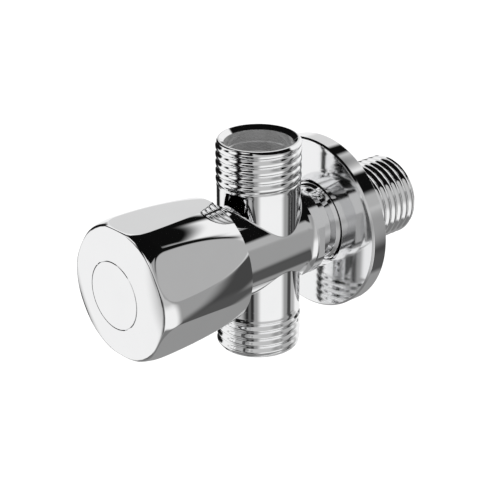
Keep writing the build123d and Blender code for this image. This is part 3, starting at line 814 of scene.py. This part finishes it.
@dataclass
class WallFlange:
    """The thick round flange that slides on the inlet."""

    radius: float = 22.35
    thickness: float = 4.5
    bevel: float = 0.45
    edge_round: float = 0.12
    rim_round: float = 0.2
    relief_round: float = 0.3
    bore: float = 10.5775
    countersink: float = 11.65
    rim_inner: float = 20.8
    hub: float = 13.2
    relief: float = 2.0
    groove: tuple[float, float, float] = (11.698, -2.52, -1.28)
    columns: int = 288

    def build(self, finishes: Finishes) -> Object:
        """Makes the flange and sets it on its body.

        Args:
            finishes: the valve's finishes.

        Returns:
            The flange's object.
        """
        front, soft, lip, deep = -self.thickness, self.edge_round, self.rim_round, self.relief_round
        groove, groove_front, groove_rear = self.groove
        corners = [(self.countersink, front, soft), (self.radius - self.bevel, front, soft),
                   (self.radius, front + self.bevel, soft), (self.radius, 0, soft),
                   (self.rim_inner, 0, lip),
                   (self.rim_inner, -self.relief, deep), (self.hub, -self.relief, deep), (self.hub, 0, lip),
                   (self.bore, 0), (self.bore, groove_rear), (groove, groove_rear), (groove, groove_front),
                   (self.bore, groove_front), (self.bore, front + self.countersink - self.bore)]
        skin = Skin()
        angles = np.linspace(0, 2 * math.pi, self.columns, endpoint=False)
        runs = section(corners, 1.0, closed=True)
        skin.turned(runs[:1] + runs[2:], angles)
        skin.finish = 1
        skin.turned(runs[1:2], angles)
        flange = skin.build("chromed_flange")
        finishes.dress(flange, "chrome", "soft_chrome")
        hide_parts("wall_flange")
        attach(flange, "flange")
        return flange


@dataclass
class Knob:
    """The faceted knob, with its cap, as turned outlines that six shallow facets cut."""

    front: float = -67.45
    rear: float = -38.25
    rear_radius: float = 15.65
    widest: float = 17.25
    widest_y: float = -60.75
    edge_radius: float = 16.45
    edge_round: float = 1.1
    dome: float = 70.0
    facet_distance: float = 16.17
    facet_arc: float = 400.0
    facet_crest: float = -59.25
    crease: float = 0.05
    front_crease: float = 0.22
    crease_reach: float = 1.3
    least_half: float = 0.05
    facets: int = 6
    bore: float = 13.65
    boss: float = 8.6
    boss_end: float = -57.27
    boss_round: float = 0.2
    web: float = -62.07
    web_round: float = 0.5
    socket: float = 5.5
    socket_end: float = -61.27
    screw_hole: float = 2.1
    screw_recess: float = 6.4
    cap_recess: float = 8.45
    cap: float = 8.3
    cap_seat: float = -66.0
    cap_chamfer: float = 0.12
    skirt: tuple[float, float, float] = (4.9, 5.9, 2.2)
    ring_groove: tuple[float, float, float] = (5.45, 1.1, 0.45)
    side_rows: int = 58
    side_gather: float = 1.2
    edge_rows: int = 24
    face_rows: int = 9
    cap_rows: int = 14
    cap_columns: int = 192
    settling_rounds: int = 20
    step: float = 1e-4
    across: tuple[float, ...] = (-1, -0.985, -0.96, -0.92, -0.85, -0.75, -0.6, -0.45, -0.3, -0.15, 0,
                                 0.15, 0.3, 0.45, 0.6, 0.75, 0.85, 0.92, 0.96, 0.985)
    ridge: tuple[float, ...] = (0, 0.02, 0.05, 0.1, 0.2, 0.35, 0.5, 0.65, 0.8, 0.9, 0.95, 0.98)

    @property
    def sector(self) -> float:
        """Angle from one facet to the next."""
        return 2 * math.pi / self.facets

    def barrel(self, y: Grid) -> Grid:
        """Radius of the outline that is turned, before the facets are cut.

        Args:
            y: places along the axis.

        Returns:
            The radius at each place.
        """
        rear_rise, front_rise = self.widest - self.rear_radius, self.widest - self.edge_radius
        rear_arc = ((self.rear - self.widest_y) ** 2 + rear_rise ** 2) / (2 * rear_rise)
        run = self.dome_y(self.edge_radius) - self.widest_y
        front_arc = (run ** 2 + front_rise ** 2) / (2 * front_rise)
        arc = np.where(y > self.widest_y, rear_arc, front_arc)
        return self.widest - arc + np.sqrt(arc ** 2 - (y - self.widest_y) ** 2)

    def facet(self, y: Grid) -> Grid:
        """Distance of a facet's middle line from the axis."""
        return self.facet_distance - (y - self.facet_crest) ** 2 / (2 * self.facet_arc)

    def outline(self, row: Grid) -> tuple[Grid, Grid]:
        """The turned outline before the facets are cut.

        Args:
            row: 0 to 1 along the side from the rear, 1 to 2 round the edge, 2 to 3 in over the domed face.

        Returns:
            The radius and the place along the axis.
        """
        step, centre_y, reach = self.step, self.front + self.dome, self.dome - self.edge_round
        y = self.dome_y(self.edge_radius) + self.edge_round
        for _ in range(self.settling_rounds):
            slope = float(self.barrel(np.array(y + step)) - self.barrel(np.array(y - step))) / (2 * step)
            length = math.sqrt(1 + slope ** 2)
            ball = float(self.barrel(np.array(y))) - self.edge_round / length
            y = centre_y - math.sqrt(reach ** 2 - ball ** 2) - self.edge_round * slope / length
        ball_y = centre_y - math.sqrt(reach ** 2 - ball ** 2)
        first, last = -math.atan(slope), math.atan2(ball_y - centre_y, ball)
        recess = -math.acos(self.cap_recess / self.dome)
        side_y = self.rear + (y - self.rear) * np.clip(row, 0, 1)
        turn = first + (last - first) * np.clip(row - 1, 0, 1)
        sweep = last + (recess - last) * np.clip(row - 2, 0, 1)
        radius = np.where(row <= 1, self.barrel(side_y), ball + self.edge_round * np.cos(turn))
        place = np.where(row <= 1, side_y, ball_y + self.edge_round * np.sin(turn))
        radius = np.where(row > 2, self.dome * np.cos(sweep), radius)
        return radius, np.where(row > 2, centre_y + self.dome * np.sin(sweep), place)

    def skin_point(self, angle: Grid, row: Grid) -> Grid:
        """Points of the shell's outside, with the facets cut.

        Args:
            angle: angles about the axis.
            row: places along the outline, as in its own method.

        Returns:
            The points.
        """
        radius, y = self.outline(row)
        away = angle - self.sector * np.round(angle / self.sector)
        ahead = (y - self.dome_y(self.edge_radius)) / self.crease_reach
        crease = self.crease + self.front_crease * np.exp(-ahead ** 2)
        return around_main(smooth_min(radius, self.facet(y) / np.cos(away), crease), angle, y)

    def dome_y(self, radius: float) -> float:
        """Place of the domed face at a distance from the axis."""
        return self.front + self.dome - math.sqrt(self.dome ** 2 - radius ** 2)

    def shell(self, finishes: Finishes) -> Object:
        """Makes the hollow shell with its facets and sets it on the knob.

        Args:
            finishes: the valve's finishes.

        Returns:
            The shell's object.
        """
        side = 1 - np.linspace(1, 0, self.side_rows)[:-1] ** self.side_gather
        rows = np.append(side, joined(1, self.edge_rows, 2, self.face_rows, 3))[:, None]
        radius, y = self.outline(rows)
        half = np.maximum(np.arccos(np.clip(self.facet(y) / radius, -1, 1)), self.least_half)
        sector, step, hair = self.sector, self.step, 1e-9
        starts = [k * sector for k in range(self.facets)]
        ridge = half + (sector - 2 * half) * np.array(self.ridge)
        local = np.append(half * np.array(self.across), ridge, axis=1)
        angles = np.concatenate([local + start for start in starts], axis=1)
        wide = rows + 0 * angles
        points = self.skin_point(angles, wide)
        part = np.clip(np.floor(wide - hair), 0, 2)
        low, high = np.maximum(wide - step, part), np.minimum(wide + step, part + 1)
        around = self.skin_point(angles + step, wide) - self.skin_point(angles - step, wide)
        along = self.skin_point(angles, high) - self.skin_point(angles, low)
        normals = unit(np.cross(around, along))
        normals *= np.sign((normals * (points - [0, self.widest_y, 0])).sum(axis=-1, keepdims=True))
        skin = Skin()
        skin.grid(points, normals, True)
        count = local.shape[1]
        even = np.interp(np.arange(count), [0, count], [0, sector])
        angles = np.concatenate([even + start for start in starts]) + local[len(rows) // 2, 0]
        inner = around_main(self.bore, angles, self.rear)
        skin.grid(np.stack([points[0], inner]), TO_WALL, True)
        hollow = [(self.bore, self.rear), (self.bore, self.web, self.web_round),
                  (self.boss, self.web, self.web_round), (self.boss, self.boss_end, self.boss_round),
                  (self.socket, self.boss_end), (self.socket, self.socket_end),
                  (self.screw_hole, self.socket_end), (self.screw_hole, self.web),
                  (self.screw_recess, self.web), (self.screw_recess, self.cap_seat),
                  (self.cap_recess, self.cap_seat)]
        skin.turned(section(hollow, 1.0), angles)
        wall = around_main(self.cap_recess, angles, self.cap_seat)
        skin.grid(np.stack([wall, points[-1]]), -around_main(1.0, angles, 0.0), True)
        shell = skin.build("chromed_knob")
        finishes.dress(shell, "chrome")
        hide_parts("knob_shell")
        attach(shell, "knob")
        return shell

    def cap_piece(self, finishes: Finishes) -> Object:
        """Makes the round cap whose edge is the index circle, and sets it on the knob.

        Args:
            finishes: the valve's finishes.

        Returns:
            The cap's object.
        """
        face, seat = self.cap - self.cap_chamfer, self.cap_seat
        (inner, outer, length), (root, ring, half) = self.skirt, self.ring_groove
        ring_y = seat + ring
        corners = [(0.0, seat), (inner, seat), (inner, seat + length), (outer, seat + length),
                   (outer, ring_y + half), (root, ring_y + half), (root, ring_y - half),
                   (outer, ring_y - half), (outer, seat), (self.cap, seat),
                   (self.cap, self.dome_y(face) + self.cap_chamfer), (face, self.dome_y(face))]
        skin = Skin()
        angles = np.linspace(0, 2 * math.pi, self.cap_columns, endpoint=False)
        skin.turned(section(corners, -1.0), angles)
        turns = np.linspace(-math.acos(face / self.dome), -math.pi / 2, self.cap_rows)
        ways = np.stack([np.cos(turns), np.sin(turns)], axis=-1)
        skin.turned([(np.array([0.0, self.front + self.dome]) + self.dome * ways, ways)], angles)
        cap = skin.build("chromed_cap")
        finishes.dress(cap, "chrome")
        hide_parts("index_cap")
        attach(cap, "knob")
        return cap


@dataclass
class Fittings:
    """The pieces that keep their own nodes: cartridge, seals, screw and strainer."""

    redrawn: tuple[str, ...] = ("valve_body", "wall_flange", "knob_shell", "index_cap")

    def dress(self, finishes: Finishes) -> None:
        """Gives each node the finish of its slot in the record."""
        slots = {item["node"]: item["material_slot"] for item in frame["record"]["subparts"]}
        for name, node in frame["nodes"].items():
            if name in self.redrawn:
                continue
            finishes.dress(node, slots[name])
            log.info("%s keeps its node, in %s", name, slots[name])


@dataclass(frozen=True)
class Card:
    """A soft-edged panel that the chrome mirrors. Angles are in degrees, and tones are as they look."""

    azimuth: float
    elevation: float
    width: float
    height: float
    tone: float
    soft: float = 6.0
    soft_height: float = 6.0
    lean: float = 0.0

    def light(self) -> float:
        """The panel's light, so that chrome shows its tone through the screen's own curve."""
        return ((self.tone + 0.055) / 1.055) ** 2.4 / CHROME_SHARE


def studio_cards() -> tuple[Card, ...]:
    """The panels round the valve, from the first laid to the last.

    Returns:
        Grey side wall, dark strips beside and behind, dark ceiling and dark floor patches.
    """
    side_wall = (Card(76, 22, 116, 66, 0.73, 18, 18), Card(124, -2, 36, 96, 0.585, 16, 12, 0.55),
                 Card(128, 27, 44, 26, 0.67, 16, 6))
    rear_strips = (Card(157, -18, 22, 60, 0.68, 16, 12), Card(142.5, -18, 14, 58, 0.26, 7, 8),
                   Card(152, -42, 32, 24, 0.31, 12, 8), Card(228, 27, 36, 30, 0.82, 12, 10))
    low = (Card(0, -75, 400, 46, 0.46, 1, 10), Card(207, -62, 92, 62, 0.56, 10, 6),
           Card(335, -56, 60, 12, 0.28, 12, 5))
    front_low = (Card(17, -27, 64, 62, 0.58, 16, 12), Card(21, -38, 28, 28, 0.33, 10, 8),
                 Card(23, -18, 14, 34, 0.36, 5, 8), Card(16, -16, 7, 34, 0.16, 5, 8),
                 Card(30.5, -19, 8, 30, 0.18, 5, 8), Card(347, -30, 28, 66, 0.70, 10, 10),
                 Card(352, -1, 19, 22, 0.06, 9, 9), Card(3, -11, 18, 18, 0.08, 8, 8),
                 Card(350, -11, 15, 15, 0.08, 8, 8), Card(15, 4, 21, 17, 0.10, 9, 9))
    left = (Card(270, 10, 42, 36, 0.07, 8, 8), Card(296, 36, 40, 34, 0.05, 8, 6),
            Card(262, -27, 30, 46, 0.12, 10, 8))
    high = (Card(0, 74, 400, 42, 0.045, 1, 5), Card(134, 45, 44, 34, 0.05, 8, 6),
            Card(148, 48, 24, 22, 0.05, 8, 6), Card(181, 57, 40, 20, 0.05, 6, 6),
            Card(211, 50, 32, 22, 0.05, 8, 4), Card(68, 58, 106, 26, 0.045, 10, 4),
            Card(334, 12, 23, 15, 0.04, 8, 7), Card(348, 26, 17, 34, 0.04, 8, 8),
            Card(5, 49, 46, 26, 0.045, 6, 5), Card(330, 53, 42, 22, 0.045, 8, 8))
    return side_wall + rear_strips + low + front_low + left + high


@dataclass
class Studio:
    """Floor, lamps, what the chrome mirrors, and the camera at the photograph's angle."""

    floor_half: float = 4000.0
    floor_z: float = -95.0
    floor_tone: tuple[float, float, float] = (0.88, 0.88, 0.88)
    floor_spread: float = 0.01
    floor_grain: float = 30.0
    floor_roughness: float = 0.9
    floor_lift: float = 0.12
    azimuth: float = 47.78
    elevation: float = 24.765
    roll: float = -0.096
    distance: float = 372.93
    lens: float = 108.71
    sensor: float = 36.0
    clip_from: float = 0.01
    aim_y: float = -22.1
    aim_right: float = -2.086
    aim_up: float = -2.156
    backdrop_tone: float = 0.93
    matt_light: float = 0.8
    cards: tuple[Card, ...] = field(default_factory=studio_cards)
    soft_lamps: tuple[tuple[str, tuple[float, float, float], float, float], ...] = (
        ("key_lamp", (0.5, -0.6, 0.9), 0.9, 6.0), ("side_lamp", (-0.9, 0.1, 0.7), 0.8, 3.0))
    lamps_aim: tuple[float, float, float] = (0.0, -0.02, 0.0)

    def world(self) -> None:
        """Makes the surroundings: white to the camera, plain light on what is matt, panels in chrome."""
        world = bpy.data.worlds.new("studio")
        bpy.context.scene.world = world
        world.use_nodes = True
        tree = world.node_tree
        azimuth, elevation = self.directions(tree)
        tone: Socket | float = Card(0, 0, 0, 0, self.backdrop_tone).light()
        for card in self.cards:
            tone = mixed(tree, self.card_mask(tree, azimuth, elevation, card), tone, card.light())
        ray = tree.nodes.new("ShaderNodeLightPath").outputs
        mirror = maths(tree, "MAXIMUM", ray["Is Glossy Ray"], ray["Is Transmission Ray"])
        seen = mixed(tree, ray["Is Camera Ray"], mixed(tree, mirror, self.matt_light, tone), 1.0)
        tree.links.new(seen, tree.nodes["Background"].inputs["Color"])

    def directions(self, tree: Tree) -> tuple[Socket, Socket]:
        """Azimuth from -Y towards +X, and elevation, of the direction that is looked up.

        Args:
            tree: the world's tree.

        Returns:
            The two outputs, in radians.
        """
        way, parts = (tree.nodes.new(kind) for kind in ("ShaderNodeTexCoord", "ShaderNodeSeparateXYZ"))
        tree.links.new(way.outputs["Generated"], parts.inputs[0])
        front = maths(tree, "MULTIPLY", parts.outputs["Y"], -1.0)
        return maths(tree, "ARCTAN2", parts.outputs["X"], front), maths(tree, "ARCSINE", parts.outputs["Z"])

    def card_mask(self, tree: Tree, azimuth: Socket, elevation: Socket, card: Card) -> Socket:
        """Soft mask of one panel.

        Args:
            tree: the world's tree.
            azimuth: azimuth that is looked up.
            elevation: elevation that is looked up.
            card: the panel.

        Returns:
            The output of a mask from 0 to 1.
        """
        rise = maths(tree, "SUBTRACT", elevation, math.radians(card.elevation))
        shift = maths(tree, "MULTIPLY_ADD", rise, card.lean, azimuth)
        turn = maths(tree, "SUBTRACT", shift, math.radians(card.azimuth))
        wrap = maths(tree, "WRAP", turn, math.pi, -math.pi)
        masks = []
        for away, half, soft in ((wrap, card.width / 2, card.soft),
                                 (rise, card.height / 2, card.soft_height)):
            edge = tree.nodes.new("ShaderNodeMapRange")
            edge.interpolation_type = "SMOOTHSTEP"
            for name, value in (("Value", maths(tree, "ABSOLUTE", away)),
                                ("From Min", math.radians(half + soft / 2)),
                                ("From Max", math.radians(half - soft / 2))):
                feed(tree, edge.inputs[name], value)
            masks.append(edge.outputs["Result"])
        return maths(tree, "MULTIPLY", *masks)

    def floor(self) -> None:
        """Makes the plain pale floor, which the chrome doesn't mirror."""
        half, z = self.floor_half * MM, self.floor_z * MM
        mesh = bpy.data.meshes.new("floor")
        corners = [(-half, -half, z), (half, -half, z), (half, half, z), (-half, half, z)]
        mesh.from_pydata(corners, [], [(0, 1, 2, 3)])
        floor = linked("floor", mesh)
        material = bpy.data.materials.new("pale_floor")
        material.use_nodes = True
        tree = material.node_tree
        grain = tree.nodes.new("ShaderNodeTexNoise")
        grain.inputs["Scale"].default_value = self.floor_grain
        lighter = tuple(tone + self.floor_spread for tone in self.floor_tone)
        tint = mixed(tree, grain.outputs["Fac"], (*self.floor_tone, 1), (*lighter, 1), True)
        seen = tree.nodes.new("ShaderNodeLightPath").outputs["Is Camera Ray"]
        for name, value in (("Base Color", tint), ("Roughness", self.floor_roughness),
                            ("Specular IOR Level", 0.0), ("Emission Color", (1, 1, 1, 1)),
                            ("Emission Strength", maths(tree, "MULTIPLY", seen, self.floor_lift))):
            feed(tree, tree.nodes["Principled BSDF"].inputs[name], value)
        mesh.materials.append(material)
        floor.visible_glossy = False

    def lamps(self) -> None:
        """Makes the soft lamps, which light what is matt and aren't mirrored."""
        for name, spot, size, power in self.soft_lamps:
            light = bpy.data.lights.new(name, "AREA")
            light.energy = power
            light.size = size
            lamp = linked(name, light)
            lamp.location = spot
            aim = Vector(self.lamps_aim) - Vector(spot)
            lamp.rotation_euler = aim.to_track_quat("-Z", "Y").to_euler()
            lamp.visible_glossy = False

    def camera(self) -> None:
        """Sets the camera at the photograph's angle, distance and lens."""
        az, el = math.radians(self.azimuth), math.radians(self.elevation)
        right = Vector((math.cos(az), math.sin(az), 0))
        back = Vector((math.sin(az) * math.cos(el), -math.cos(az) * math.cos(el), math.sin(el)))
        up = back.cross(right)
        aim = Vector((0, self.aim_y, 0)) + self.aim_right * right + self.aim_up * up
        turn = Matrix.Rotation(math.radians(self.roll), 3, back)
        right, up = turn @ right, turn @ up
        data = bpy.data.cameras.new("camera")
        data.lens = self.lens
        data.sensor_width = self.sensor
        data.clip_start = self.clip_from
        camera = linked("camera", data)
        pose = Matrix((right, up, back)).transposed().to_4x4()
        pose.translation = (aim + self.distance * back) * MM
        camera.matrix_world = pose
        bpy.context.scene.camera = camera

    def build(self) -> None:
        """Makes the whole studio."""
        self.world()
        self.floor()
        self.lamps()
        self.camera()
        bpy.context.scene.view_settings.view_transform = "Standard"


def main() -> None:
    """Builds the valve's pieces in order and sets up the studio."""
    finishes = Finishes()
    finishes.build()
    knob = Knob()
    pieces = [ValveBody().build(finishes), WallFlange().build(finishes), knob.shell(finishes),
              knob.cap_piece(finishes)]
    for piece in pieces:
        log.info("%s: %d faces", piece.name, len(piece.data.polygons))
    Fittings().dress(finishes)
    Studio().build()


if __name__ == "__main__":
    main()
